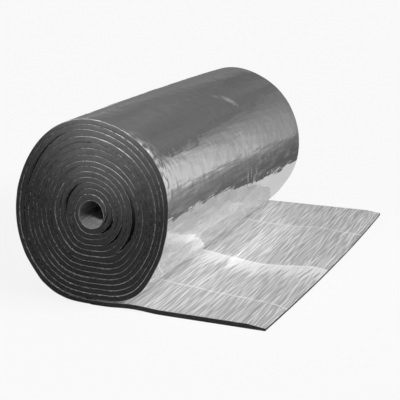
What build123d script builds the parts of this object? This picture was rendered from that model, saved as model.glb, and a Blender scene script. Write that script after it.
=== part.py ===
from build123d import *
import os

# Insulation roll: a foil-faced foam sheet wound on itself, with its loose end lying flat on the floor.
# X runs along the loose end, Y along the roll, Z up. The floor is Z = 0.

# The sheet and the roll, in millimetres
sheet_width = 1000          # length of the roll, along Y
sheet_thickness = 10        # foam with its two facings
facing_thickness = 0.5      # foil or film, each
roll_radius = 200           # outside of the outermost turn, on the side away from the loose end
bore_radius = 30            # open middle of the roll, inside its film
turn_count = 14
tail_reach = 425            # from the roll's axis to the cut edge of the loose end
groove_depth = 5            # of the spiral gap that shows the turns on each end

# The winding. Each turn is a left half about one centre and a right half about a centre half a pitch
# higher, so that the sheet runs off the bottom of the roll straight into the loose end.
pitch = (roll_radius - bore_radius) / turn_count
left_height = roll_radius
right_height = roll_radius + pitch / 2
right_radius = roll_radius - pitch / 2
bore_height = (left_height + right_height) / 2

# The box round the whole part is centred on the origin along X.
axis_x = (roll_radius - tail_reach) / 2
tail_end = axis_x + tail_reach
half_width = sheet_width / 2

# Angles, in degrees
half_turn = 180
top = 90
bottom = -90

os.makedirs("parts", exist_ok=True)


def left_arc(radius):
    return CenterArc((axis_x, left_height), radius, top, half_turn)


def right_arc(radius):
    return CenterArc((axis_x, right_height), radius, bottom, half_turn)


def spiral_gap(plane):
    with BuildSketch(plane) as gap:
        for turn in range(turn_count - 1):
            inside = sheet_thickness + turn * pitch
            next_turn = (turn + 1) * pitch
            with BuildLine():
                outer = left_arc(roll_radius - inside)
                inner = left_arc(roll_radius - next_turn)
                Line(outer @ 0, inner @ 0)
                Line(outer @ 1, inner @ 1)
            make_face()
            if turn + 1 < turn_count - 1:
                with BuildLine():
                    outer = right_arc(right_radius - inside)
                    inner = right_arc(right_radius - next_turn)
                    Line(outer @ 0, inner @ 0)
                    Line(outer @ 1, inner @ 1)
                make_face()
    return gap.sketch


# Foam: the wound body with its round bore, and the loose end in one with it
with BuildPart() as foam_sheet:
    with BuildSketch(Plane.XZ):
        with BuildLine():
            left = left_arc(roll_radius - facing_thickness)
            right = right_arc(right_radius - facing_thickness)
            Polyline(
                left @ 1,
                (tail_end, facing_thickness),
                (tail_end, sheet_thickness - facing_thickness),
                (axis_x, sheet_thickness - facing_thickness),
                right @ 0,
            )
        make_face()
        with Locations((axis_x, bore_height)):
            Circle(bore_radius + facing_thickness, mode=Mode.SUBTRACT)
    extrude(amount=half_width, both=True)
    extrude(spiral_gap(Plane.XZ.offset(half_width)), amount=-groove_depth, mode=Mode.SUBTRACT)
    extrude(spiral_gap(Plane.XZ.offset(-half_width)), amount=groove_depth, mode=Mode.SUBTRACT)
foam_sheet.part.label = "foam_sheet"
export_step(foam_sheet.part, "parts/foam_sheet.step")

# Foil: the shiny skin round the outside of the roll
with BuildPart() as roll_foil:
    with BuildSketch(Plane.XZ):
        with BuildLine():
            left_outside = left_arc(roll_radius)
            left_inside = left_arc(roll_radius - facing_thickness)
            right_outside = right_arc(right_radius)
            right_inside = right_arc(right_radius - facing_thickness)
            Line(left_outside @ 1, left_inside @ 1)
            Line(right_outside @ 0, right_inside @ 0)
        make_face()
    extrude(amount=half_width, both=True)
roll_foil.part.label = "roll_foil"
export_step(roll_foil.part, "parts/roll_foil.step")

# Foil on the underside of the loose end, which the part rests on
with BuildPart() as tail_foil:
    with BuildSketch(Plane.XZ):
        with Locations((axis_x, 0)):
            Rectangle(tail_reach, facing_thickness, align=(Align.MIN, Align.MIN))
    extrude(amount=half_width, both=True)
tail_foil.part.label = "tail_foil"
export_step(tail_foil.part, "parts/tail_foil.step")

# Silver film on the upper face of the loose end, which is the inner face of the wound sheet
with BuildPart() as tail_film:
    with BuildSketch(Plane.XZ):
        with Locations((axis_x, sheet_thickness)):
            Rectangle(tail_reach, facing_thickness, align=(Align.MIN, Align.MAX))
    extrude(amount=half_width, both=True)
tail_film.part.label = "tail_film"
export_step(tail_film.part, "parts/tail_film.step")

# The same film where it lines the bore
with BuildPart() as bore_film:
    with BuildSketch(Plane.XZ):
        with Locations((axis_x, bore_height)):
            Circle(bore_radius + facing_thickness)
            Circle(bore_radius, mode=Mode.SUBTRACT)
    extrude(amount=half_width, both=True)
bore_film.part.label = "bore_film"
export_step(bore_film.part, "parts/bore_film.step")
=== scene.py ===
import math

import bpy
import numpy as np
from mathutils import Matrix, Vector


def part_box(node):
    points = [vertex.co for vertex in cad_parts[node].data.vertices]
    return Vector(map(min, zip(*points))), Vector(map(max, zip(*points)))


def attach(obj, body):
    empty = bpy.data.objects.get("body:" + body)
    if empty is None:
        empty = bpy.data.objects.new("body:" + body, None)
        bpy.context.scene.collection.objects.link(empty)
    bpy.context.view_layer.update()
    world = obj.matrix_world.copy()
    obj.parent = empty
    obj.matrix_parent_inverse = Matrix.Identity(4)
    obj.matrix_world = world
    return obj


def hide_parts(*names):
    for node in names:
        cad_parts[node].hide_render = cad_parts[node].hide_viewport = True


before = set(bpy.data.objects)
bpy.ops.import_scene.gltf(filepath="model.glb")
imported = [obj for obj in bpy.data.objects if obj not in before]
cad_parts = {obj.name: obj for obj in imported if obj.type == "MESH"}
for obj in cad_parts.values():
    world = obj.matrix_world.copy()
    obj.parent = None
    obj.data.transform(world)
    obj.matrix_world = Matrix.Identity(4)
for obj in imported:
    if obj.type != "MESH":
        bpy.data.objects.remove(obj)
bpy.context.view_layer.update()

# An insulation roll: foil-faced foam wound in a spiral, with its loose end lying on the floor.
# Metres and radians, in the frame of the solids: X along the loose end, Y along the roll, Z up, the
# floor at Z = 0.

# Sizes taken from the solids
tail_low, tail_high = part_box("tail_film")
roll_low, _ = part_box("roll_foil")
bore_low, bore_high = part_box("bore_film")
AXIS_X = tail_low.x
TAIL_REACH = tail_high.x - tail_low.x
HALF_WIDTH = tail_high.y
SHEET = tail_high.z
ROLL_RADIUS = AXIS_X - roll_low.x
BORE_RADIUS = (bore_high.x - bore_low.x) / 2

# The roll as it lies: a little taller than wide and not quite round, as soft rolls are
TALL_SHARE = 1.031  # half height of the roll over the radius of its solid
WIDE_SHARE = 0.907  # width over height of the outer turn
OPEN_SHARE = 1.02  # half height of the bore over the radius of its solid
BORE_SHARE = 0.93  # width over height of the bore
TALL_RADIUS = TALL_SHARE * ROLL_RADIUS
OPEN_BORE = OPEN_SHARE * BORE_RADIUS
TUCK_START = 4.75  # angle at which the outer turn starts to tuck in under the roll
SWELL_POWER = 1.5  # how fast the swells fade from the outside to the bore

# How far the outer turn is from an ellipse, as shares of its radius: the sine and the cosine that go
# three and four times round
THREEFOLD = (0.0100, -0.0089)
FOURFOLD = (-0.0020, -0.0040)

# The winding
TURNS = 14
TURN = 2 * math.pi
STEPS = 144  # columns of the strip in each turn
SKIN = 0.00035  # thickness of the foil and of the film
LEAST_FOAM = 3 * SKIN  # least thickness of the sheet at its inner end
TIGHT_GAP = 0.0004  # between turns that touch
DRIFT_SHARE = 0.5  # how unevenly the turns are wound
LEAST_LOOSE = 0.25
EVEN_ANGLE = 0.6  # each side of the bottom, where the winding comes back to the mean
NIP_ANGLE = 0.6  # from the nip, over which the foam swells from its own thickness

# Gaps between turns that stand open: after which turn, where on the clock (degrees from the bottom,
# up the left side), over how many degrees to each side, and by how much
OPEN_GAPS = (
    (2, 122, 50, 0.0044),
    (4, 298, 34, 0.0020),
    (6, 205, 40, 0.0007),
    (8, 274, 66, 0.0108),
    (10, 300, 52, 0.0046),
    (11, 114, 64, 0.0068),
    (12, 290, 60, 0.0072),
    (13, 274, 50, 0.0028),
)

# Where the outside of the roll swells or slackens: where on the clock, over how many degrees to each
# side, and by how much at the near end, half way along and at the far end
SWELLS = (
    (30, 27, 0.0045, 0.0, 0.0),
    (128, 40, -0.0022, 0.0, 0.0),
    (158, 46, 0.0, 0.0075, 0.0075),
    (222, 30, 0.0028, 0.0, 0.0),
    (281, 46, -0.0130, -0.0040, 0.0),
    (331, 29, 0.0112, 0.0112, 0.0112),
)

# The loose end
TAIL_NEAR = TAIL_REACH - 0.024  # from the axis to the cut edge at the near side
TAIL_FAR = TAIL_REACH + 0.014  # and at the far side
TAIL_BULGE = 0.005  # how far the cut edge bows out
HUMP_HEIGHT = 0.0035  # of the hump beside the roll, at the near side
HUMP_PLACE = 0.10  # from the axis
HUMP_HALF = 0.07
LIFT_HEIGHT = 0.0165  # of the far side
LIFT_REACH = 0.12  # from the axis to where it is lifted
LIFT_POWER = 2.5  # how fast the lift rises towards the far side
CORNER_HEIGHT = 0.004  # of the far corner over the far side
PRESSED_SHARE = 0.45  # of the thickness, by which the cut edge is pressed thin
PRESSED_REACH = 0.045

WAVE_RATES = (0.55, 1.6)  # fewest and most waves in the lengths that a random field is given


def wave_field(seed, length_a, length_b, count=28):
    """A smooth random height over two coordinates, mostly -1 to 1, with bumps of about these lengths."""
    rng = np.random.default_rng(seed)
    turn = rng.uniform(0, TURN, count)
    rate = rng.uniform(*WAVE_RATES, count)
    rate_a = TURN * rate * np.cos(turn) / length_a
    rate_b = TURN * rate * np.sin(turn) / length_b
    phase = rng.uniform(0, TURN, count)

    def height(a, b):
        a, b = np.broadcast_arrays(np.asarray(a, float), np.asarray(b, float))
        total = np.zeros(a.shape)
        for wave in range(count):
            total += np.cos(rate_a[wave] * a + rate_b[wave] * b + phase[wave])
        return total * math.sqrt(1 / count)

    return height


def patches(field, level, most=None):
    """Patches of a random field: it is raised by a level, and cut off below nought and above the most."""
    return (field + level).clip(0, most)


def smooth_step(low, high, value):
    share = np.clip((value - low) / (high - low), 0, 1)
    return share * share * (3 - 2 * share)


def bell(distance, half):
    return np.cos(np.clip(distance / half, -1, 1) * math.pi / 2) ** 2


def from_near_end(y):
    return y + HALF_WIDTH


def share_along(y):
    """Nought at the near end and one at the far end."""
    return from_near_end(y) / (2 * HALF_WIDTH)


# The path of the sheet's outer face, seen from the near end. Angles are turned from the bottom, up the
# left side and over the top.

gap_drift = wave_field(11, 2.2, 1.0)


def out_of_round(turned):
    """The outer turn's radius over that of a true ellipse: a slack flank and a flattened shoulder."""
    threefold = THREEFOLD[0] * np.sin(3 * turned) + THREEFOLD[1] * np.cos(3 * turned)
    fourfold = FOURFOLD[0] * np.sin(4 * turned) + FOURFOLD[1] * np.cos(4 * turned)
    return 1 + threefold + fourfold


CENTRE_Z = TALL_RADIUS * out_of_round(0)
PITCH = (CENTRE_Z - OPEN_BORE) / TURNS  # from one turn to the next, at the bottom


def outline_at(turned):
    """Radius of the outer turn, which tucks in under the roll to lie on the loose end."""
    return TALL_RADIUS * out_of_round(turned) - PITCH * smooth_step(TUCK_START, TURN, turned)


def bore_at(turned):
    """Radius that one more turn would have, inside the last."""
    return OPEN_BORE - PITCH * smooth_step(math.pi, TURN, turned)


def opening_at(turned):
    """How far the gap inside the sheet stands open beyond the mean, at an angle turned from the bottom."""
    extra = np.zeros(np.shape(turned))
    for after_turn, clock, half, width in OPEN_GAPS:
        centre = (after_turn - 1) * TURN + math.radians(clock)
        extra += width * bell(turned - centre, math.radians(half))
    return extra


def looseness_at(turned):
    """How loose the winding is, as a share of the mean. It is the mean at the bottom of each turn."""
    clock = np.mod(turned, TURN)
    uneven = smooth_step(0, EVEN_ANGLE, clock) * smooth_step(0, EVEN_ANGLE, TURN - clock)
    return np.clip(1 + DRIFT_SHARE * uneven * gap_drift(turned, 0), LEAST_LOOSE, None)


def gap_at(turned):
    """Gap between the sheet and the next turn inwards. Where some gaps stand open, the others close up."""
    clock = np.mod(turned, TURN)
    mean_gap = (outline_at(clock) - bore_at(clock)) / TURNS - SHEET
    taken = sum(opening_at(clock + TURN * turn) for turn in range(TURNS)) / TURNS
    loose = sum(looseness_at(clock + TURN * turn) for turn in range(TURNS)) / TURNS
    return (mean_gap - taken) * looseness_at(turned) / loose + opening_at(turned)


def thickness_at(turned):
    """The foam fills all but the gaps that stand open, and keeps its own thickness at the nip."""
    swell = gap_at(turned) - opening_at(turned) - TIGHT_GAP
    return SHEET + swell * smooth_step(0, NIP_ANGLE, turned)


def wind_sheet():
    """The angles turned, from floor to bore, with the radius of the sheet's outer and inner faces."""
    turned = np.linspace(0, TURNS * TURN, TURNS * STEPS + 1)
    radius = np.zeros(turned.shape)
    radius[: STEPS + 1] = outline_at(turned[: STEPS + 1])
    for turn in range(1, TURNS):
        inside = np.arange(turn * STEPS + 1, (turn + 1) * STEPS + 1)
        radius[inside] = radius[inside - STEPS] - SHEET - gap_at(turned[inside - STEPS])
    inner_radius = radius - thickness_at(turned)
    # The sheet's inner end is pressed thin, so the bore stays open and even
    last = slice(-STEPS - 1, None)
    inner_radius[last] = np.minimum(np.maximum(inner_radius[last], OPEN_BORE), radius[last] - LEAST_FOAM)
    return turned, radius, inner_radius


def swell_at(clock, y):
    """How far the roll's outside stands out from the same outline all along it."""
    along = share_along(y)
    # A curve through the heights at the near end, half way along and at the far end
    near, middle, far = (1 - along) * (1 - 2 * along), 4 * along * (1 - along), along * (2 * along - 1)
    swell = 0.0
    for place, half, near_height, middle_height, far_height in SWELLS:
        there = bell(clock - math.radians(place), math.radians(half))
        swell = swell + there * (near_height * near + middle_height * middle + far_height * far)
    return swell


def spiral_points(turned, radius, y):
    """Points of the roll from their angle turned, their radius before the swells, and their Y."""
    outwards = np.clip((radius - OPEN_BORE) / (TALL_RADIUS - OPEN_BORE), 0, None)
    radius = radius + outwards**SWELL_POWER * swell_at(np.mod(turned, TURN), y)
    wide = BORE_SHARE + (WIDE_SHARE - BORE_SHARE) * outwards
    x = AXIS_X - wide * radius * np.sin(turned)
    z = CENTRE_Z - radius * np.cos(turned)
    return np.stack([x, y, np.maximum(z, 0)], -1)


def tail_end_at(y):
    """X of the cut edge of the loose end, which is cut a little askew and bows out."""
    along = share_along(y)
    straight = TAIL_NEAR + (TAIL_FAR - TAIL_NEAR) * along
    return AXIS_X + straight + TAIL_BULGE * 4 * along * (1 - along)


def tail_lift(x, y):
    """Height of the loose end's underside above the floor: a hump by the roll and a far side that lifts."""
    from_axis = np.clip(x - AXIS_X, 0, None)
    along = np.clip(share_along(y), 0, 1)
    hump = HUMP_HEIGHT * bell(from_axis - HUMP_PLACE, HUMP_HALF) * (1 - along)
    outwards = from_axis / (tail_end_at(y) - AXIS_X)
    lifted = LIFT_HEIGHT * smooth_step(0, LIFT_REACH, from_axis) + CORNER_HEIGHT * outwards
    return hump + lifted * along**LIFT_POWER


def pressed(x, y):
    """Share of the sheet's thickness left near the cut edge, which the knife pressed down."""
    return 1 - PRESSED_SHARE * (1 - smooth_step(0, PRESSED_REACH, tail_end_at(y) - x))


# Meshes

SHARP_ANGLE = math.radians(55)


def add_mesh(name, points, faces):
    mesh = bpy.data.meshes.new(name)
    mesh.from_pydata(points, [], faces)
    thing = bpy.data.objects.new(name, mesh)
    bpy.context.collection.objects.link(thing)
    return thing


def make_piece(name, points, faces, material, smooth=True):
    piece = add_mesh(name, [tuple(p) for p in points], [tuple(int(i) for i in f) for f in faces])
    mesh = piece.data
    mesh.validate()
    mesh.update()
    mesh.polygons.foreach_set("use_smooth", [smooth] * len(mesh.polygons))
    mesh.set_sharp_from_angle(angle=SHARP_ANGLE)
    mesh.materials.append(material)
    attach(piece, "root")
    return piece


def loop_faces(columns, ring, start=0):
    """Quads of a tube with a cap at each end: rings of points, one after another, each closed on itself."""
    base = start + np.arange(columns - 1)[:, None] * ring
    here = np.arange(ring)[None, :]
    after = (here + 1) % ring
    quads = np.stack([base + here, base + after, base + ring + after, base + ring + here], -1)
    faces = [list(q) for q in quads.reshape(-1, 4)]
    faces.append(list(range(start + ring - 1, start - 1, -1)))
    last = start + (columns - 1) * ring
    faces.append(list(range(last, last + ring)))
    return faces


def sheet_faces(rows, columns):
    """Quads of a closed thin sheet: a grid of points for its face, then the same grid for its back."""
    index = np.arange(rows * columns).reshape(rows, columns)
    face = np.stack([index[:-1, :-1], index[1:, :-1], index[1:, 1:], index[:-1, 1:]], -1).reshape(-1, 4)
    back = face[:, ::-1] + rows * columns
    rim = np.concatenate([index[0, :], index[1:, -1], index[-1, -2::-1], index[-2:0:-1, 0]])
    after = np.roll(rim, -1)
    sides = np.stack([rim, after, after + rows * columns, rim + rows * columns], -1)
    return np.concatenate([face, back, sides])


def grid_sheet(name, face, back, material):
    """A thin closed sheet with cut edges, from two grids of points, each rows by columns by three."""
    rows, columns = face.shape[:2]
    points = np.concatenate([face.reshape(-1, 3), back.reshape(-1, 3)])
    piece = make_piece(name, points, sheet_faces(rows, columns), material)
    piece.data.materials.append(cut_edge)
    for side in piece.data.polygons[2 * (rows - 1) * (columns - 1):]:
        side.material_index = 1
    return piece


def point_values(piece, name, grid):
    """Keeps a value for each point of a sheet's face, and the same for its back, for a material to read."""
    values = piece.data.attributes.new(name, "FLOAT", "POINT")
    values.data.foreach_set("value", np.concatenate([grid.ravel(), grid.ravel()]))


# Materials


def grey(level):
    return (level, level, level, 1)


def new_material(name):
    material = bpy.data.materials.new(name)
    material.use_nodes = True
    tree = material.node_tree
    return material, tree, tree.nodes["Principled BSDF"]


def feed(tree, node, inputs):
    """Sets inputs of a node, each to a value or to the output of another node."""
    for name, value in inputs.items():
        if isinstance(value, bpy.types.NodeSocket):
            tree.links.new(value, node.inputs[name])
        else:
            node.inputs[name].default_value = value


def object_coordinates(tree, stretch=(1, 1, 1)):
    place = tree.nodes.new("ShaderNodeTexCoord")
    mapping = tree.nodes.new("ShaderNodeMapping")
    feed(tree, mapping, {"Vector": place.outputs["Object"], "Scale": stretch})
    return mapping.outputs["Vector"]


def coordinate(tree, vector, name):
    parts = tree.nodes.new("ShaderNodeSeparateXYZ")
    feed(tree, parts, {0: vector})
    return parts.outputs[name]


def noise_texture(tree, vector, scale=1.0, detail=2.0, rough=0.5):
    noise = tree.nodes.new("ShaderNodeTexNoise")
    feed(tree, noise, {"Vector": vector, "Scale": scale, "Detail": detail, "Roughness": rough})
    return noise.outputs["Fac"]


def spread(tree, value, from_range, to_range):
    """Spreads a value from one range to another, and holds it at the ends."""
    remap = tree.nodes.new("ShaderNodeMapRange")
    feed(tree, remap, {"Value": value, "From Min": from_range[0], "From Max": from_range[1]})
    feed(tree, remap, {"To Min": to_range[0], "To Max": to_range[1]})
    return remap.outputs["Result"]


def grey_ramp(tree, value, stops):
    """A grey that runs through the given stops, each a value from 0 to 1 and its grey."""
    ramp = tree.nodes.new("ShaderNodeValToRGB")
    elements = ramp.color_ramp.elements
    while len(elements) < len(stops):
        elements.new(0.5)
    for element, (place, level) in zip(elements, stops):
        element.position = place
        element.color = grey(level)
    feed(tree, ramp, {"Fac": value})
    return ramp.outputs["Color"]


def mix_colours(tree, factor, first, second):
    """The first colour where the factor is nought and the second where it is one."""
    mix = tree.nodes.new("ShaderNodeMix")
    mix.data_type = "RGBA"
    feed(tree, mix, {"Factor": factor, "A": first, "B": second})
    return mix.outputs["Result"]


def maths(tree, operation, first, second):
    node = tree.nodes.new("ShaderNodeMath")
    node.operation = operation
    feed(tree, node, {0: first, 1: second})
    return node.outputs[0]


def dot_product(tree, vector, direction):
    node = tree.nodes.new("ShaderNodeVectorMath")
    node.operation = "DOT_PRODUCT"
    feed(tree, node, {0: vector, 1: direction})
    return node.outputs["Value"]


def point_value(tree, name):
    attribute = tree.nodes.new("ShaderNodeAttribute")
    attribute.attribute_name = name
    return attribute.outputs["Fac"]


def bump(tree, height, distance, strength):
    node = tree.nodes.new("ShaderNodeBump")
    feed(tree, node, {"Height": height, "Distance": distance, "Strength": strength})
    return node.outputs["Normal"]


def foam_material():
    """Dark closed-cell foam: matte and a cloudy grey, with fine cells."""
    material, tree, shader = new_material("foam")
    place = object_coordinates(tree)
    cloud = noise_texture(tree, place, scale=150, detail=5, rough=0.75)
    cells = noise_texture(tree, place, scale=520, detail=3, rough=0.6)
    feed(tree, shader, {
        "Base Color": grey_ramp(tree, cloud, ((0.30, 0.028), (0.50, 0.037), (0.70, 0.054))),
        "Roughness": 0.93,
        "Specular IOR Level": 0.22,
        "Normal": bump(tree, cells, distance=0.0012, strength=0.55),
    })
    return material


def foil_material():
    """Bright foil: near a mirror, with faint rolling marks, soft dents, a little haze and dull scuffs."""
    material, tree, shader = new_material("foil")
    haze = noise_texture(tree, object_coordinates(tree), scale=9, detail=5, rough=0.6)
    dents = noise_texture(tree, object_coordinates(tree, (48, 30, 48)), detail=1.5, rough=0.45)
    streaks = noise_texture(tree, object_coordinates(tree, (120, 11, 120)))
    dents = spread(tree, dents, (0, 1), (0, 0.8))
    streaks = spread(tree, streaks, (0, 1), (0, 0.8))
    feed(tree, shader, {
        "Base Color": grey(0.86),
        "Roughness": spread(tree, haze, (0.3, 0.7), (0.02, 0.09)),
        "Metallic": spread(tree, point_value(tree, "scuff"), (0, 1), (1.0, 0.3)),
        "Normal": bump(tree, maths(tree, "ADD", dents, streaks), distance=0.0010, strength=0.6),
    })
    return material


def film_material():
    """Silver film: satin and finely streaked along the roll, with painted highlights along its folds, seams
    and band.
    """
    material, tree, shader = new_material("film")
    streak = noise_texture(tree, object_coordinates(tree, (300, 8, 300)))
    plain = grey_ramp(tree, streak, ((0.30, 0.31), (0.50, 0.39), (0.70, 0.48)))
    # The base colour turns near white under the painted highlight of the folds, seams and band
    feed(tree, shader, {
        "Base Color": mix_colours(tree, point_value(tree, "painted_highlight"), plain, grey(0.98)),
        "Roughness": spread(tree, streak, (0.3, 0.7), (0.45, 0.32)),
        "Metallic": 0.12,
        "Normal": bump(tree, streak, distance=0.0005, strength=0.4),
    })
    return material


# Heights over the bottom of the bore, between which its lining turns pale with painted light
PAINTED_LIGHT_FROM = 0.022
PAINTED_LIGHT_TO = 0.004


def lining_material():
    """The film inside the bore, darkened there as painted shade, and paler along its bottom as painted
    light.
    """
    material, tree, shader = new_material("lining")
    streak = noise_texture(tree, object_coordinates(tree, (260, 30, 260)), detail=4, rough=0.6)
    # Painted shade: the film made darker inside the bore
    dull = grey_ramp(tree, streak, ((0.30, 0.09), (0.50, 0.15), (0.70, 0.26)))
    # Painted light: the paler film along the bottom of the bore
    pale = grey_ramp(tree, streak, ((0.30, 0.24), (0.50, 0.44), (0.70, 0.75)))
    bottom = CENTRE_Z - OPEN_BORE
    height = coordinate(tree, object_coordinates(tree), "Z")
    low = spread(tree, height, (bottom + PAINTED_LIGHT_FROM, bottom + PAINTED_LIGHT_TO), (0, 1))
    feed(tree, shader, {
        "Base Color": mix_colours(tree, low, dull, pale),
        "Roughness": 0.5,
        "Metallic": 0.1,
        "Normal": bump(tree, streak, distance=0.0005, strength=0.4),
    })
    return material


def cut_edge_material():
    """Cut edges of the foil and the film: crushed and dull."""
    material, tree, shader = new_material("cut_edge")
    crushed = noise_texture(tree, object_coordinates(tree), scale=240, detail=3, rough=0.6)
    feed(tree, shader, {
        "Base Color": grey_ramp(tree, crushed, ((0.35, 0.30), (0.50, 0.60), (0.65, 0.92))),
        "Roughness": 0.5,
        "Metallic": 0.3,
        "Normal": bump(tree, crushed, distance=0.0005, strength=0.4),
    })
    return material


foam = foam_material()
foil = foil_material()
film = film_material()
lining = lining_material()
cut_edge = cut_edge_material()

# The wound foam, with its loose end: one strip from the cut edge to the bore

# Section of the strip's ends: share of the thickness from the outer face, and how far in from the end
EDGE_SECTION = (
    (0.0, 0.0012),
    (0.05, 0.0004),
    (0.18, 0.0),
    (0.5, 0.0002),
    (0.82, 0.0),
    (0.95, 0.0004),
    (1.0, 0.0012),
)
FACE_SHARES = (0.03, 0.08, 0.14, 0.21, 0.29, 0.38, 0.48, 0.60, 0.72, 0.84, 0.95)
FILLED_INSIDE = 0.95  # share of an open gap that the foam fills inside the roll
FILLED_REACH = (0.02, 0.16)  # shares of the roll's length from an end, between which it closes up
TAIL_COLUMNS = 70
TAIL_CROWDING = 1.6  # crowds the columns towards the cut edge
END_INSET = 0.0015  # of the sheet's cut ends inside the planes of the roll's, on the whole
END_WANDER = 0.0011  # how far each turn's end stands in or out
END_RIPPLE = 0.0003
DEEPEST_INSET = 0.005
WANDER_RATE = 2.3  # how fast the ends wander with each turn
FAR_WANDER, FAR_RIPPLE = 5, 9  # where in their fields the far end starts, so that the ends differ
end_shift = wave_field(21, 1.7, 1.0)
end_ripple = wave_field(22, 0.25, 1.0)

turned, radius, inner_radius = wind_sheet()


def end_offset(turned_at, side):
    """How far the cut end of the sheet lies inside the plane of the roll's end: the near one is side 0."""
    turn = turned_at / TURN
    wander = END_WANDER * end_shift(turn * WANDER_RATE + FAR_WANDER * side, 0)
    ripple = END_RIPPLE * end_ripple(turn + FAR_RIPPLE * side, 0)
    return np.clip(END_INSET + wander + ripple, 0.0, DEEPEST_INSET)


def filled(share):
    """Share of an open gap that the foam fills. The gaps stand open at the ends and close up inside."""
    return FILLED_INSIDE * smooth_step(*FILLED_REACH, min(share, 1 - share))


def strip_section(turned, radius, thickness, gap):
    """Points round one section of the foam strip at each column."""
    low_y = -HALF_WIDTH + end_offset(turned, 0)
    high_y = HALF_WIDTH - end_offset(turned, 1)
    near = [(depth, 0.0, low_y + inset) for depth, inset in EDGE_SECTION]
    far = [(depth, 0.0, high_y - inset) for depth, inset in reversed(EDGE_SECTION)]
    inner_face = [(1.0, filled(share), low_y + share * (high_y - low_y)) for share in FACE_SHARES]
    outer_face = [(0.0, 0.0, low_y + share * (high_y - low_y)) for share in reversed(FACE_SHARES)]
    rings = []
    for depth, swollen, y in near + inner_face + far + outer_face:
        inwards = SKIN + depth * (thickness - 2 * SKIN) + swollen * gap
        rings.append(spiral_points(turned, radius - inwards, y))
    return np.stack(rings, 1)


def tail_section():
    """The same for the loose end, from its cut edge to the roll."""
    share = 1 - np.linspace(0, 1, TAIL_COLUMNS + 1)[:-1] ** TAIL_CROWDING
    zero = np.zeros(share.shape)
    rings = strip_section(zero, zero + CENTRE_Z, SHEET, zero)
    y = rings[:, :, 1]
    x = AXIS_X + share[:, None] * (tail_end_at(y) - AXIS_X - SKIN)
    rings[:, :, 0] = x
    rings[:, :, 2] *= pressed(x, y)
    rings[:, :, 2] += tail_lift(x, y)
    return rings


def build_foam():
    wound = strip_section(turned, radius, radius - inner_radius, opening_at(turned))
    rings = np.concatenate([tail_section(), wound])
    columns, around = rings.shape[:2]
    piece = make_piece("foam_sheet_wound", rings.reshape(-1, 3), loop_faces(columns, around), foam)
    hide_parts("foam_sheet")


# Foil on the outside of the roll

FOIL_AROUND = 270
FOIL_ALONG = 170
FOIL_CROWDING = 1.15  # crowds the columns towards the near end
FOIL_PAST = 0.12  # how far the foil runs on past the nip
FOIL_INSET = 0.0030  # of its cut edges inside the planes of the roll's ends
NEAR_RAGGED, FAR_RAGGED = 0.0007, 0.0005
FAR_EDGE = 3  # where in its field the far edge starts
HELD_FLOOR, HELD_NIP = 0.25, 0.35  # over which it comes free of the floor and of the nip
foil_slow = wave_field(31, 0.16, 0.34)
foil_dents = wave_field(32, 0.05, 0.075)
foil_streaks = wave_field(36, 0.022, 0.16, 40)
foil_creases = wave_field(33, 0.16, 0.026)
foil_crinkles = wave_field(37, 0.07, 0.030)
foil_crumple = wave_field(34, 0.034, 0.022)
foil_scratches = wave_field(38, 0.018, 0.12, 40)
edge_ragged = wave_field(35, 0.05, 1.0)

# Heights of the foil's relief
STAND_OFF = 0.0006  # from the foam, on the whole
SLOW_HEIGHT = 0.00034
DENT_HEIGHT = 0.00015
STREAK_HEIGHT = 0.00009
PULL_HEIGHT = 0.00012
CRINKLE_HEIGHT = 0.00034
CRUMPLE_HEIGHT = 0.0020

# Where the creases lie, measured round from the bottom or along from the near end
CRUMPLE_PLACE = math.radians(232) * TALL_RADIUS  # where the near edge is crumpled
CRUMPLE_HALF = math.radians(38) * TALL_RADIUS
CRUMPLE_FADE = 0.03
CREASED_PLACE = math.radians(282) * TALL_RADIUS  # where the slack flank is finely creased
CREASED_HALF = math.radians(34) * TALL_RADIUS
CREASED_EXTRA = 2.3  # how much stronger the streaks are there
PULL_PLACE = 0.17  # where creases run round the roll
PULL_HALF = 0.24
PULL_SHIFT = 2  # where in the slow field their patches start
CRINKLE_PLACE = 0.56  # where the slack flank is crinkled
CRINKLE_HALF = 0.26
FAR_DENTS = 0.4  # share of the dents that does not fade along the roll
DENT_FADE = 0.4
EDGE_REACH = (-0.01, 0.05)  # from an end, over which the relief comes up
CRUMPLE_REACH = 0.012  # from the near end, over which the crumpled edge comes up

# Knocks in the foil: where on the clock, how far along, half their size round and along, and their height
KNOCKS = (
    (214, -0.035, 0.024, 0.009, 0.0012),
    (210, -0.085, 0.009, 0.008, 0.0007),
    (150, 0.21, 0.014, 0.022, -0.0009),
    (95, -0.18, 0.020, 0.010, 0.0009),
    (120, 0.33, 0.012, 0.014, 0.0007),
)
# Dull scuffs on the foil: from where to where, on the clock and along, half their width, and how dull
SCUFFS = (
    (205.5, 0.094, 218.0, 0.138, 0.020, 0.26),
    (201.0, 0.060, 206.0, 0.085, 0.012, 0.12),
    (120.0, -0.10, 131.0, -0.02, 0.010, 0.35),
    (100.0, 0.26, 108.0, 0.30, 0.009, 0.30),
)
SCUFF_SHARE = 0.65  # half a scuff's length over its run
SCRATCH_DULL = 0.22
SCRATCH_FADE = 0.9
CRINKLE_DULL = 0.30
CRUMPLE_DULL = 0.5
DULL_FADE = 0.016
DULL_STRETCH = 1.7  # how much finer the crumpled edge's scuffs are than its creases
DULL_GAIN = 0.9


def flank(around):
    """One in the middle of the slack flank and nought outside it."""
    return bell(around - CREASED_PLACE, CREASED_HALF)


def crinkled_flank(around, y):
    return flank(around) * bell(from_near_end(y) - CRINKLE_PLACE, CRINKLE_HALF)


def crumpled_edge(around, y, fade):
    """One at the crumpled stretch of the near edge, fading along the roll."""
    return bell(around - CRUMPLE_PLACE, CRUMPLE_HALF) * np.exp(-from_near_end(y) / fade)


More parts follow.
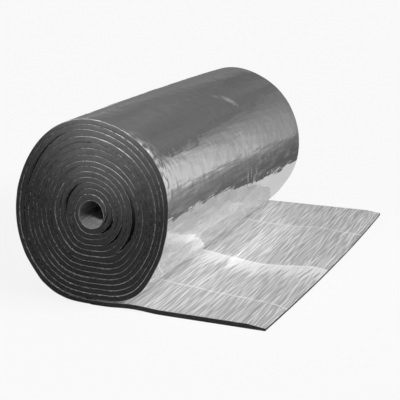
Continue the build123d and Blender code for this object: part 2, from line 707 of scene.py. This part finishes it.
def foil_relief(around, y):
    """Height of the foil's dents and creases over the foam. The dents fade towards the far end."""
    from_near = from_near_end(y)
    from_end = np.minimum(from_near, HALF_WIDTH - y)
    fade = FAR_DENTS + (1 - FAR_DENTS) * np.exp(-from_near / DENT_FADE)
    pulled = bell(from_near - PULL_PLACE, PULL_HALF)
    pulled = pulled * patches(foil_slow(around + PULL_SHIFT, y), level=0.5, most=1.2)
    height = SLOW_HEIGHT * foil_slow(around, y)
    height = height + DENT_HEIGHT * fade * foil_dents(around, y)
    height = height + STREAK_HEIGHT * (1 + CREASED_EXTRA * flank(around)) * foil_streaks(around, y)
    height = height + PULL_HEIGHT * pulled * foil_creases(around, y)
    height = height + CRINKLE_HEIGHT * crinkled_flank(around, y) * foil_crinkles(around, y)
    height = patches(height, level=STAND_OFF) * smooth_step(*EDGE_REACH, from_end)
    for clock, along, half_around, half_along, depth in KNOCKS:
        from_knock = around - math.radians(clock) * TALL_RADIUS
        height = height + depth * bell(from_knock, half_around) * bell(y - along, half_along)
    crumpled = crumpled_edge(around, y, CRUMPLE_FADE) * smooth_step(0, CRUMPLE_REACH, from_near)
    return height.clip(0) + CRUMPLE_HEIGHT * crumpled * patches(foil_crumple(around, y), level=0.6)


def foil_scuffs(around, y):
    """How dull the foil is scuffed, from 0 to 1."""
    dull = np.zeros(np.broadcast(around, y).shape)
    for clock, along, to_clock, to_along, half, depth in SCUFFS:
        start = np.array([math.radians(clock) * TALL_RADIUS, along])
        run = np.array([math.radians(to_clock) * TALL_RADIUS, to_along]) - start
        length = np.linalg.norm(run)
        out, up = around - start[0], y - start[1]
        on = (out * run[0] + up * run[1]) / length
        off = (out * run[1] - up * run[0]) / length
        dull = np.maximum(dull, depth * bell(on - length / 2, SCUFF_SHARE * length) * bell(off, half))
    scratched = SCRATCH_DULL * patches(foil_scratches(around, y), level=-0.15, most=1.3)
    scratched = scratched * flank(around) * np.exp(-from_near_end(y) / SCRATCH_FADE)
    crinkled = CRINKLE_DULL * patches(foil_crinkles(around, y), level=-0.25, most=1.2)
    dull = np.maximum(dull, scratched + crinkled * crinkled_flank(around, y))
    marked = CRUMPLE_DULL * patches(DULL_GAIN * foil_crumple(DULL_STRETCH * around, y), level=0.35, most=1)
    return np.maximum(dull, marked * crumpled_edge(around, y, DULL_FADE))


def build_roll_foil():
    angle = np.linspace(0, TURN + FOIL_PAST, FOIL_AROUND)
    distance = np.interp(angle, turned, radius)
    share = np.linspace(0, 1, FOIL_ALONG) ** FOIL_CROWDING
    around = (angle * TALL_RADIUS)[:, None]
    low = -HALF_WIDTH + FOIL_INSET + NEAR_RAGGED * edge_ragged(around, 0)
    high = HALF_WIDTH - FOIL_INSET + FAR_RAGGED * edge_ragged(around + FAR_EDGE, 0)
    y = low + (high - low) * share[None, :]
    # Nothing stands out where the foil meets the floor and the loose end
    held = smooth_step(0, HELD_FLOOR, angle) * smooth_step(0, HELD_NIP, TURN - angle)
    relief = foil_relief(around, y) * held[:, None]
    face = spiral_points(angle[:, None], distance[:, None] + relief, y)
    back = spiral_points(angle[:, None], distance[:, None] - SKIN, y)
    piece = grid_sheet("roll_foil_skin", face, back, foil)
    point_values(piece, "scuff", foil_scuffs(around, y))
    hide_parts("roll_foil")


# Foil under the loose end

TAIL_FOIL_STEPS = 60
TAIL_FOIL_INSET = 0.0006


def build_tail_foil():
    share = np.linspace(0, 1, TAIL_FOIL_STEPS)[:, None]
    half = HALF_WIDTH - TAIL_FOIL_INSET
    y = np.linspace(-half, half, TAIL_FOIL_STEPS)[None, :] + 0 * share
    x = AXIS_X + share * (tail_end_at(y) - AXIS_X)
    under = tail_lift(x, y)
    upper = np.stack([x, y, under + SKIN], -1)
    lower = np.stack([x, y, under], -1)
    piece = grid_sheet("tail_foil_skin", upper, lower, foil)
    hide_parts("tail_foil")


# Film on the loose end

FILM_ROWS = 500
HIDDEN_ROWS = 40  # of those, how many lie under the roll
HIDDEN_SHARE = 0.15  # of the loose end's reach, which they cover
FILM_INSET = 0.0028  # of its cut edges inside the planes of the roll's ends
FILM_RISE = 0.0002  # how far it stands off the foam
FILM_HELD = (0.02, 0.09)  # from the axis, over which its relief comes up beside the roll
FILM_EDGE = 0.012  # from a cut edge, over which it comes up
PUCKER_HEIGHT = 0.00012
slow_film = wave_field(43, 0.11, 0.30)
seam_wander = wave_field(44, 0.16, 1.0)
band_feather = wave_field(45, 0.011, 1.0, 40)

# Columns of its grid: from where to where along Y, and how many. They are closer together where the seams
# and the band cross the folds.
FILM_COLUMNS = (
    (-HALF_WIDTH + FILM_INSET, HALF_WIDTH - FILM_INSET, 52),
    (-0.375, -0.280, 16),
    (-0.150, -0.005, 20),
    (0.258, 0.290, 8),
)

# Folds, which run along the roll
FOLD_HEIGHT = 0.0006
FOLD_LANES = (0.0072, 0.065)  # from one fold's middle to the next, along X and along Y
FOLD_START = 0.03  # from the axis
FOLD_PAST = 0.1  # past the far side
FOLD_SHIFTS = (0.0025, 0.035)  # how far its middle may lie off, along X and along Y
FOLD_HALF_LENGTHS = (0.03, 0.08)
FOLD_HALF_WIDTHS = (0.0013, 0.0021)
FOLD_STRENGTHS = (0.40, 1.0)
FOLD_SLANT = 0.03
FOLD_WAVE = 0.0018  # how far it wavers to each side
FOLD_WAVE_LENGTH = 0.045  # in which its waver turns by one radian
FOLD_TAPER = 0.3  # how sharply its ends taper

# Seams, and the wavy band down the middle, both across the folds
SEAM_HALF = 0.005
SEAM_HEIGHT = 0.0008
# How strong the painted highlight along the seams is
SEAM_HIGHLIGHT = 0.65
LOW_SEAM = (-0.290, -0.18, 0.004)  # Y at the axis, slant, and how far it wanders
HIGH_SEAM = (0.273, 0.0, 0.006)
HIGH_SEAM_SHIFT = 2  # where in its field the high seam starts
BAND_WIDTH = 0.115
BAND_HEIGHT = 0.0006
BAND_PLACE, BAND_SLANT = -0.005, -0.30
BAND_TURN = 0.085  # by which its edge turns back towards the far side
BAND_TURN_REACH = (0.24, 0.44)  # from the axis, over which it turns
BAND_START = (0.02, 0.10)  # from the axis, over which it comes up
BAND_LIP = (-0.002, 0.004)  # from its far edge, over which it comes up
FEATHER_SHARES = (0.75, 0.45)  # of its width: the mean, and how far its near edge is feathered
FEATHER_SLANT = 0.15
FEATHER_FROM = 0.65  # share of that width from which the band fades
BAND_HIGHLIGHT = (0.5, 0.4)  # how strong its painted highlight is, and what its folds add
RIM_INSET = 0.007  # of the painted highlight rim, in from the band's far edge
RIM_HALF = 0.009
# How strong the painted highlight rim is
RIM_HIGHLIGHT = 0.85


def seam_at(from_axis, seam, shift=0):
    """Y of a seam."""
    place, slant, wander = seam
    return place + slant * from_axis + wander * seam_wander(from_axis + shift, 0)


def band_edge(from_axis):
    """Y of the far edge of the wavy band down the middle of the film."""
    turn = BAND_TURN * smooth_step(*BAND_TURN_REACH, from_axis)
    return BAND_PLACE + BAND_SLANT * from_axis + turn


def film_folds(x, y):
    """Narrow folds that run along the roll, from 0 to 1. The columns of the grid each have one Y."""
    rng = np.random.default_rng(41)
    height = np.zeros(x.shape)
    for lane_y in np.arange(-HALF_WIDTH, HALF_WIDTH + FOLD_PAST, FOLD_LANES[1]):
        for lane_x in np.arange(FOLD_START, TAIL_FAR, FOLD_LANES[0]):
            middle_x = AXIS_X + lane_x + rng.uniform(-FOLD_SHIFTS[0], FOLD_SHIFTS[0])
            middle_y = lane_y + rng.uniform(-FOLD_SHIFTS[1], FOLD_SHIFTS[1])
            half_length = rng.uniform(*FOLD_HALF_LENGTHS)
            half_width = rng.uniform(*FOLD_HALF_WIDTHS)
            slant = rng.normal(0, FOLD_SLANT)
            phase = rng.uniform(0, TURN)
            strength = rng.uniform(*FOLD_STRENGTHS)
            there = np.abs(y[0] - middle_y) < half_length
            from_middle = y[:, there] - middle_y
            waver = FOLD_WAVE * np.sin(from_middle / FOLD_WAVE_LENGTH + phase)
            line = middle_x + slant * from_middle + waver
            fold = bell(x[:, there] - line, half_width) * bell(from_middle, half_length) ** FOLD_TAPER
            height[:, there] = np.maximum(height[:, there], strength * fold)
    return height


def film_creases(x, y):
    """Height of the film's folds, seams and band, and how strong the painted highlight along them is."""
    from_axis = x - AXIS_X
    folds = film_folds(x, y)
    low_seam = bell(y - seam_at(from_axis, LOW_SEAM), SEAM_HALF)
    high_seam = bell(y - seam_at(from_axis, HIGH_SEAM, HIGH_SEAM_SHIFT), SEAM_HALF)
    seams = np.maximum(low_seam, high_seam)
    below = band_edge(from_axis) - y
    feather = FEATHER_SHARES[1] * band_feather(from_axis + FEATHER_SLANT * below, 0)
    width = BAND_WIDTH * (FEATHER_SHARES[0] + feather)
    started = smooth_step(*BAND_START, from_axis)
    band = started * smooth_step(*BAND_LIP, below) * (1 - smooth_step(FEATHER_FROM * width, width, below))
    # A rim of painted highlight, in from the band's far edge
    rim = started * bell(below - RIM_INSET, RIM_HALF)
    height = FOLD_HEIGHT * folds + SEAM_HEIGHT * seams + BAND_HEIGHT * band
    height = height + PUCKER_HEIGHT * slow_film(x, y).clip(0)
    # Painted highlight on the folds, the seams, the band and its rim
    band_highlight = band * (BAND_HIGHLIGHT[0] + BAND_HIGHLIGHT[1] * folds)
    marked = np.maximum.reduce([folds, SEAM_HIGHLIGHT * seams, band_highlight, RIM_HIGHLIGHT * rim])
    return height, np.clip(marked, 0, 1)


def film_stations():
    """Y of the grid's columns."""
    runs = [np.linspace(low, high, count) for low, high, count in FILM_COLUMNS]
    return np.unique(np.round(np.concatenate(runs), 5))


def build_tail_film():
    hidden = np.linspace(0, HIDDEN_SHARE, HIDDEN_ROWS, endpoint=False)
    seen = np.linspace(HIDDEN_SHARE, 1, FILM_ROWS - HIDDEN_ROWS)
    share = np.concatenate([hidden, seen])[:, None]
    y = film_stations()[None, :] + 0 * share
    x = AXIS_X + share * (tail_end_at(y) - AXIS_X)
    held = smooth_step(*FILM_HELD, x - AXIS_X)
    edge = smooth_step(0, FILM_EDGE, np.minimum(tail_end_at(y) - x, HALF_WIDTH - np.abs(y)))
    relief, marked = film_creases(x, y)
    z = SHEET * pressed(x, y) + tail_lift(x, y)
    face = np.stack([x, y, z + FILM_RISE + relief * held * edge], -1)
    back = np.stack([x, y, z - SKIN], -1)
    piece = grid_sheet("tail_film_skin", face, back, film)
    # The painted highlight is kept at each point, for the film's material to read
    point_values(piece, "painted_highlight", marked)
    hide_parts("tail_film")


# Film in the bore: the inner face of the innermost turn

BORE_ALONG = 60
BORE_LAP = 6  # columns by which it laps past a full turn
BORE_INSET = 0.002  # of its cut edges inside the planes of the roll's ends
BORE_CREASE = 0.0002
bore_crease = wave_field(51, 0.012, 0.30, 40)


def build_bore_film():
    last = np.arange(turned.size - 1, turned.size - 1 - STEPS - BORE_LAP, -1)
    angle = turned[last][:, None]
    distance = inner_radius[last][:, None] + SKIN
    half = HALF_WIDTH - BORE_INSET
    y = np.linspace(-half, half, BORE_ALONG)[None, :] + 0 * angle
    relief = BORE_CREASE * bore_crease(angle * BORE_RADIUS, y)
    face = spiral_points(angle, distance - SKIN - relief, y)
    back = spiral_points(angle, distance, y)
    piece = grid_sheet("bore_film_skin", face, back, lining)
    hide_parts("bore_film")


# Edges of the foil and the film between the turns, which show as thin broken lines on the ends

EDGE_DEPTH = 0.0015
EDGE_THICKNESS = 0.0002
EDGE_STEPS = 640  # columns in each turn
CRUSHED_EXTRA = 1.9  # how much thicker the outer turns' edges are crushed underneath
CRUSHED_POWER = 2.5  # how fast that fades towards the bore
FOIL_FIRST_TURN = 1.02  # from which the foil's edge lies between turns
FILM_SHIFT = 40.0  # where in their fields the film's edges start

# How far they stand proud of the foam
DOT_HEIGHT = 0.0020
DASH_HEIGHT = 0.0011
SLOW_DRIFT = 0.0019
UPRIGHT_HEIGHT = 0.0007  # more at the top and the bottom, less at the sides
BOTTOM_HEIGHT = 0.0009  # more at the bottom, less at the top
MEAN_SUNK = 0.0011
PROUD_RANGE = (-0.0040, 0.0009)
edge_dots = wave_field(61, 0.007, 1.0, 40)
edge_dashes = wave_field(62, 0.07, 1.0, 40)
edge_slow = wave_field(63, 0.9, 1.0, 40)


def proud_of_end(angle, along):
    """How far an edge stands out past the foam. It sinks beside the gaps that stand open."""
    proud = DOT_HEIGHT * edge_dots(along, 0) + DASH_HEIGHT * edge_dashes(along, 0)
    proud = proud + SLOW_DRIFT * edge_slow(along, 0)
    proud = proud + UPRIGHT_HEIGHT * np.cos(2 * angle) + BOTTOM_HEIGHT * np.cos(angle)
    sunk = MEAN_SUNK + (opening_at(angle) + opening_at(angle - TURN)) / 2
    return np.clip(proud - sunk, *PROUD_RANGE)


def build_edges(name, face_radius, lean, shift=0.0, first_turn=0.0):
    """A thin ribbon along the spiral at each end, standing a little proud in places and sunk in others."""
    angle = np.linspace(first_turn * TURN, TURNS * TURN, int((TURNS - first_turn) * EDGE_STEPS))
    distance = np.interp(angle, turned, face_radius)
    arc = np.cumsum(distance) * (angle[1] - angle[0])
    crushed = CRUSHED_EXTRA * np.cos(angle).clip(0) * (distance / TALL_RADIUS) ** CRUSHED_POWER
    thick = EDGE_THICKNESS * (1 + crushed)
    points, faces = [], []
    for end, side in enumerate((-1, 1)):
        outer = HALF_WIDTH - end_offset(angle, end) + proud_of_end(angle, arc + shift + side)
        outer_y, inner_y = side * outer, side * (outer - EDGE_DEPTH)
        ring = []
        for depth, y in ((0, outer_y), (thick, outer_y), (thick, inner_y), (0, inner_y)):
            ring.append(spiral_points(angle, distance + lean * depth, y))
        ring = np.stack(ring if side * lean > 0 else ring[::-1], 1)
        faces.extend(loop_faces(angle.size, 4, start=sum(len(p) for p in points)))
        points.append(ring.reshape(-1, 3))
    make_piece(name, np.concatenate(points), faces, cut_edge, smooth=False)


build_foam()
build_roll_foil()
build_tail_foil()
build_tail_film()
build_bore_film()
build_edges("foil_edges", radius, lean=-1, first_turn=FOIL_FIRST_TURN)
build_edges("film_edges", inner_radius, lean=1, shift=FILM_SHIFT)


# Floor and surround

FLOOR_HALF = 30.0
FLOOR_DROP = 0.0005  # of the floor below the part
FLOOR_GREY = 0.88
FLOOR_GLOW = 0.962
FLOOR_GLOW_SHARE = 0.90  # of what is seen of it. The rest shows the part's shadow.
SURROUND_WHITE = 0.945
AMBIENT = 0.16  # grey of the surround for the light that it casts
PASSED_ON = 4.4  # what is added to it, at most, for light that the foil passes on
RAKING = (-0.85, -0.12, -0.45)  # the way the raking lamp points
# The surround as the foil mirrors it: how far up, from 0 at the horizon to 1 overhead, and its grey
SURROUND_SHADES = ((0.125, SURROUND_WHITE), (0.18, 0.22), (0.30, 0.15), (0.60, 0.20), (1.0, 0.40))
CEILING_REACH = (0.13, 0.25)  # how far up, over which the ceiling turns mottled
CEILING_MOTTLE = (0.80, 1.20)  # darkest and brightest, over its own grey


def seen_directly(tree):
    """One for what the camera sees, straight or by way of metal or glass, and nought for the light cast."""
    ray = tree.nodes.new("ShaderNodeLightPath")
    seen = maths(tree, "MAXIMUM", ray.outputs["Is Camera Ray"], ray.outputs["Is Glossy Ray"])
    seen = maths(tree, "MAXIMUM", seen, ray.outputs["Is Transmission Ray"])
    unscattered = maths(tree, "LESS_THAN", ray.outputs["Diffuse Depth"], 0.5)
    return maths(tree, "MULTIPLY", seen, unscattered)


def light_cast(tree):
    """Grey of the surround for the light it casts: by way of the foil, brighter by the raking lamp."""
    place = tree.nodes.new("ShaderNodeTexCoord")
    towards = dot_product(tree, place.outputs["Generated"], -Vector(RAKING).normalized())
    glow = spread(tree, towards, (0, 1), (0, PASSED_ON))
    ray = tree.nodes.new("ShaderNodeLightPath")
    passed_on = maths(tree, "MULTIPLY", glow, ray.outputs["Is Glossy Ray"])
    return maths(tree, "ADD", passed_on, AMBIENT)


def build_floor():
    """A pale floor that the camera and the foil see as near white, with the part's shadow left in."""
    outline = ((-1, -1), (1, -1), (1, 1), (-1, 1))
    floor = add_mesh("floor", [(FLOOR_HALF * x, FLOOR_HALF * y, 0) for x, y in outline], [(0, 1, 2, 3)])
    floor.location.z = -FLOOR_DROP
    material, tree, shader = new_material("floor")
    feed(tree, shader, {"Base Color": grey(FLOOR_GREY), "Roughness": 1.0, "Specular IOR Level": 0.0})
    glow = tree.nodes.new("ShaderNodeEmission")
    feed(tree, glow, {"Color": grey(FLOOR_GLOW)})
    mix = tree.nodes.new("ShaderNodeMixShader")
    share = maths(tree, "MULTIPLY", seen_directly(tree), FLOOR_GLOW_SHARE)
    feed(tree, mix, {0: share, 1: shader.outputs[0], 2: glow.outputs[0]})
    feed(tree, tree.nodes["Material Output"], {"Surface": mix.outputs[0]})
    floor.data.materials.append(material)


def build_world():
    """A white surround. The foil mirrors it with a dim ceiling above it."""
    world = bpy.data.worlds.new("studio")
    bpy.context.scene.world = world
    world.use_nodes = True
    tree = world.node_tree
    place = tree.nodes.new("ShaderNodeTexCoord")
    up = coordinate(tree, place.outputs["Generated"], "Z")
    surround = grey_ramp(tree, up, SURROUND_SHADES)
    cloud = noise_texture(tree, place.outputs["Generated"], scale=8, detail=4, rough=0.6)
    mottled = tree.nodes.new("ShaderNodeVectorMath")
    mottled.operation = "SCALE"
    feed(tree, mottled, {0: surround, "Scale": spread(tree, cloud, (0.3, 0.7), CEILING_MOTTLE)})
    above = spread(tree, up, CEILING_REACH, (0, 1))
    mirrored = mix_colours(tree, above, surround, mottled.outputs[0])
    ray = tree.nodes.new("ShaderNodeLightPath")
    seen = mix_colours(tree, ray.outputs["Is Camera Ray"], mirrored, grey(SURROUND_WHITE))
    colour = mix_colours(tree, seen_directly(tree), light_cast(tree), seen)
    feed(tree, tree.nodes["Background"], {"Color": colour})


# Grey cards that only the foil mirrors, for the room around a lit table. Outlines are X and Y for those on
# the floor, and X and Z for those at the back. Shades are X and the grey there.

CARD_HEIGHT = 0.001  # of those on the floor
BACK_Y = 6.0
DARK_BACK_Y = BACK_Y + 0.05
EDGE_X = AXIS_X + TAIL_REACH + 0.022  # beside the loose end's cut edge
UNDER_X = AXIS_X - 0.03  # under the roll

FLOOR_OUTLINE = ((EDGE_X, -2), (5, -2), (5, 12), (-3, 12), (-0.1, 2.2), (0.2, 0.75), (EDGE_X, 0.45))
FLOOR_SHADES = (
    (0.2, 0.11),
    (0.36, 0.12),
    (0.5, 0.15),
    (0.8, 0.19),
    (1.3, 0.28),
    (2.5, 0.40),
    (5.0, 0.48),
)
FLOOR_ACROSS = (-2.02, 1, 0)  # the way in which it fades
FLOOR_FADES = ((-0.5, 1.35), (0.0, 1.05), (0.5, 1.0))
DARK_OUTLINE = ((-9, 0), (9, 0), (9, 1.6), (-9, 1.6))
DARK_SHADES = ((-3, 0.20), (1, 0.17))
LIT_OUTLINE = ((0.5, 0), (9, 0), (9, 3.3), (2.82, 3.3), (2.22, 2.12), (1.2, 2.45), (0.5, 2.3))
LIT_SHADES = ((1.2, 0.20), (1.6, 0.25), (2.1, 0.34), (2.3, 0.42), (2.6, 0.52), (3.0, 0.63))
LIT_FADES = ((0, 1), (1.9, 1), (2.5, 0.66), (3.3, 0.3))
# The rear card is a painted shadow of the roll on the floor behind it, darkest under its overhang, and
# further out the dim room.
REAR_OUTLINE = ((UNDER_X, 0.8), (-6, 0.8), (-6, -8), (UNDER_X, -8))
REAR_SHADES = (
    (-6, 0.30),
    (-2.0, 0.20),
    (-1.2, 0.25),
    (-0.8, 0.42),
    (-0.45, 0.58),
    (-0.30, 0.50),
    (UNDER_X, 0.15),
)
PALE_OUTLINE = ((EDGE_X, 0.45), (0.2, 0.75), (-0.1, 2.2), (-0.6, 2.2), (-0.6, 0.52), (0.0, 0.52))
PALE_SHADES = ((-0.6, 0.60), (0.4, 0.62))


def stepped(tree, value, stops):
    """A grey that runs through the given stops, each a value and its grey."""
    low, high = stops[0][0], stops[-1][0]
    share = spread(tree, value, (low, high), (0, 1))
    return grey_ramp(tree, share, [((place - low) / (high - low), level) for place, level in stops])


def build_card(name, corners, shades, across=(0, 0, 1), fades=((0, 1), (1, 1))):
    """One card. Its shades along X are multiplied by its fades, which run the way that across points."""
    card = add_mesh(name, corners, [tuple(range(len(corners)))])
    card.visible_camera = False
    card.visible_diffuse = False
    card.visible_transmission = False
    card.visible_volume_scatter = False
    card.visible_shadow = False
    material, tree, _ = new_material(name)
    place = tree.nodes.new("ShaderNodeTexCoord")
    shade = stepped(tree, coordinate(tree, place.outputs["Object"], "X"), shades)
    fade = stepped(tree, dot_product(tree, place.outputs["Object"], across), fades)
    faded = tree.nodes.new("ShaderNodeVectorMath")
    faded.operation = "MULTIPLY"
    feed(tree, faded, {0: shade, 1: fade})
    glow = tree.nodes.new("ShaderNodeEmission")
    feed(tree, glow, {"Color": faded.outputs[0]})
    feed(tree, tree.nodes["Material Output"], {"Surface": glow.outputs[0]})
    card.data.materials.append(material)


def on_floor(outline):
    return [(x, y, CARD_HEIGHT) for x, y in outline]


def at_back(outline, y):
    return [(x, y, z) for x, z in outline]


def build_cards():
    build_card("floor_card", on_floor(FLOOR_OUTLINE), FLOOR_SHADES, FLOOR_ACROSS, FLOOR_FADES)
    build_card("dark_back_card", at_back(DARK_OUTLINE, DARK_BACK_Y), DARK_SHADES)
    build_card("lit_back_card", at_back(LIT_OUTLINE, BACK_Y), LIT_SHADES, fades=LIT_FADES)
    build_card("rear_shadow_card", on_floor(REAR_OUTLINE), REAR_SHADES)
    build_card("pale_card", on_floor(PALE_OUTLINE), PALE_SHADES)


# Lamps and camera

FRONT_PLACE = (-0.2, -0.95, 1.0)
CROWN_PLACE = (AXIS_X + 0.16, -2.0, 1.61)
CAMERA_PLACE = (AXIS_X + 1.0085, -2.5798, 0.8079)
CAMERA_TURN = math.radians(20.17)
CAMERA_TILT = math.radians(76.31)
CAMERA_ROLL = math.radians(1.56)
CAMERA_LENS = 99.43  # in millimetres, as the sensor
CAMERA_SENSOR = 36
CAMERA_SHIFT = (0.00525, -0.0055)


def add_light(name, kind, energy, direction, place=(0, 0, 0)):
    """A lamp that shows neither to the camera nor in reflections."""
    light = bpy.data.lights.new(name, kind)
    light.energy = energy
    lamp = bpy.data.objects.new(name, light)
    lamp.location = place
    lamp.rotation_euler = Vector(direction).to_track_quat("-Z", "Y").to_euler()
    lamp.visible_camera = False
    lamp.visible_glossy = False
    bpy.context.collection.objects.link(lamp)
    return light


def build_lights():
    """A broad soft light from above, one that rakes across the loose end, and two by the near end."""
    overhead = add_light("overhead", "SUN", energy=0.65, direction=(-0.35, 0.1, -1))
    overhead.angle = math.radians(75)
    raking = add_light("raking", "SUN", energy=3.55, direction=RAKING)
    raking.angle = math.radians(30)
    front = add_light("front", "AREA", energy=1.0, direction=(0.1, 0.55, -0.8), place=FRONT_PLACE)
    front.shape = "RECTANGLE"
    front.size = 0.7
    front.size_y = 0.5
    crown = add_light("crown", "SPOT", energy=680.0, direction=(-0.12, 1.5, -1.165), place=CROWN_PLACE)
    crown.spot_size = math.radians(10.5)
    crown.spot_blend = 1.0
    crown.shadow_soft_size = 0.10


def build_camera():
    data = bpy.data.cameras.new("camera")
    data.lens = CAMERA_LENS
    data.sensor_width = CAMERA_SENSOR
    data.shift_x, data.shift_y = CAMERA_SHIFT
    camera = bpy.data.objects.new("camera", data)
    turn = Matrix.Rotation(CAMERA_TURN, 4, "Z") @ Matrix.Rotation(CAMERA_TILT, 4, "X")
    camera.matrix_world = Matrix.Translation(CAMERA_PLACE) @ turn @ Matrix.Rotation(CAMERA_ROLL, 4, "Z")
    bpy.context.collection.objects.link(camera)
    bpy.context.scene.camera = camera


build_floor()
build_world()
build_cards()
build_lights()
build_camera()
bpy.context.scene.view_settings.view_transform = "Standard"
